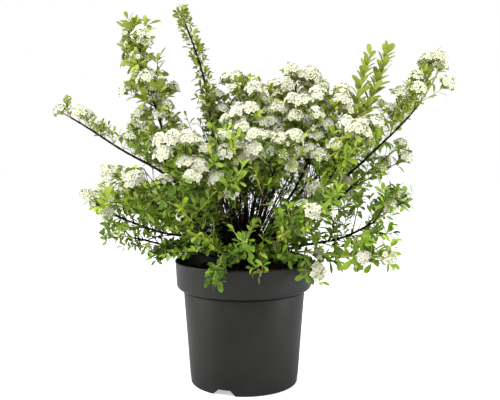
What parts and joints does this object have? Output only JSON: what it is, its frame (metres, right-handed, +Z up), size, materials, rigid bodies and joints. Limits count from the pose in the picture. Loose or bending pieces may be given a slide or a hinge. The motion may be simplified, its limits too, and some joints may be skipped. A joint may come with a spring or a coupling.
{
  "type": "potted spirea shrub",
  "caption": "Flowering spirea shrub with arching dark stems, small green leaves and domed white flower heads, in a round dark nursery pot with a deep collar.",
  "frame": {"origin": "centre of the pot's flat underside, on the ground", "axes": "+Z up, +X to the plant's longest arm, which is on the right seen from its front, and -Y to its front"},
  "size_m": [0.5479, 0.3582, 0.5232],
  "materials": {
    "pot_plastic": "moulded dark grey plastic, fine satin grain",
    "compost": "loose dark peat and bark",
    "old_wood": "thin dark bark",
    "foliage": "green leaves, pale shoots and white blossom"
  },
  "bodies": {
    "root": {"bough_back_left": "old_wood", "bough_back_mid": "old_wood", "bough_back_right": "old_wood", "bough_crown_left": "old_wood", "bough_crown_mid": "old_wood", "bough_front_left": "old_wood", "bough_front_mid": "old_wood", "bough_front_right": "old_wood", "bough_leafy_shoot": "old_wood", "bough_left_arm": "old_wood", "bough_left_front": "old_wood", "bough_low_left": "old_wood", "bough_low_right": "old_wood", "bough_right_arm": "old_wood", "bough_right_crown": "old_wood", "bough_right_front": "old_wood", "bough_right_low": "old_wood", "bough_right_second": "old_wood", "bough_right_top": "old_wood", "bough_tall_shoot": "old_wood", "bough_upper_left": "old_wood", "mass_back_hang": "foliage", "mass_back_high": "foliage", "mass_back_left": "foliage", "mass_back_low_left": "foliage", "mass_back_low_right": "foliage", "mass_back_mid": "foliage", "mass_back_right": "foliage", "mass_crown_front": "foliage", "mass_crown_left": "foliage", "mass_crown_mid": "foliage", "mass_crown_right": "foliage", "mass_front_hang_left": "foliage", "mass_front_hang_right": "foliage", "mass_front_leafy": "foliage", "mass_front_left": "foliage", "mass_front_low_left": "foliage", "mass_front_low_right": "foliage", "mass_front_mid": "foliage", "mass_front_right": "foliage", "mass_leafy_shoot": "foliage", "mass_left_arm": "foliage", "mass_left_droop": "foliage", "mass_left_front": "foliage", "mass_left_inner": "foliage", "mass_left_under": "foliage", "mass_low_left": "foliage", "mass_low_right": "foliage", "mass_right_arm": "foliage", "mass_right_crown": "foliage", "mass_right_droop": "foliage", "mass_right_front": "foliage", "mass_right_low": "foliage", "mass_right_second": "foliage", "mass_right_top": "foliage", "mass_tall_shoot": "foliage", "mass_upper_left": "foliage", "pot": "pot_plastic", "soil": "compost", "stool": "old_wood"}
  },
  "joints": []
}
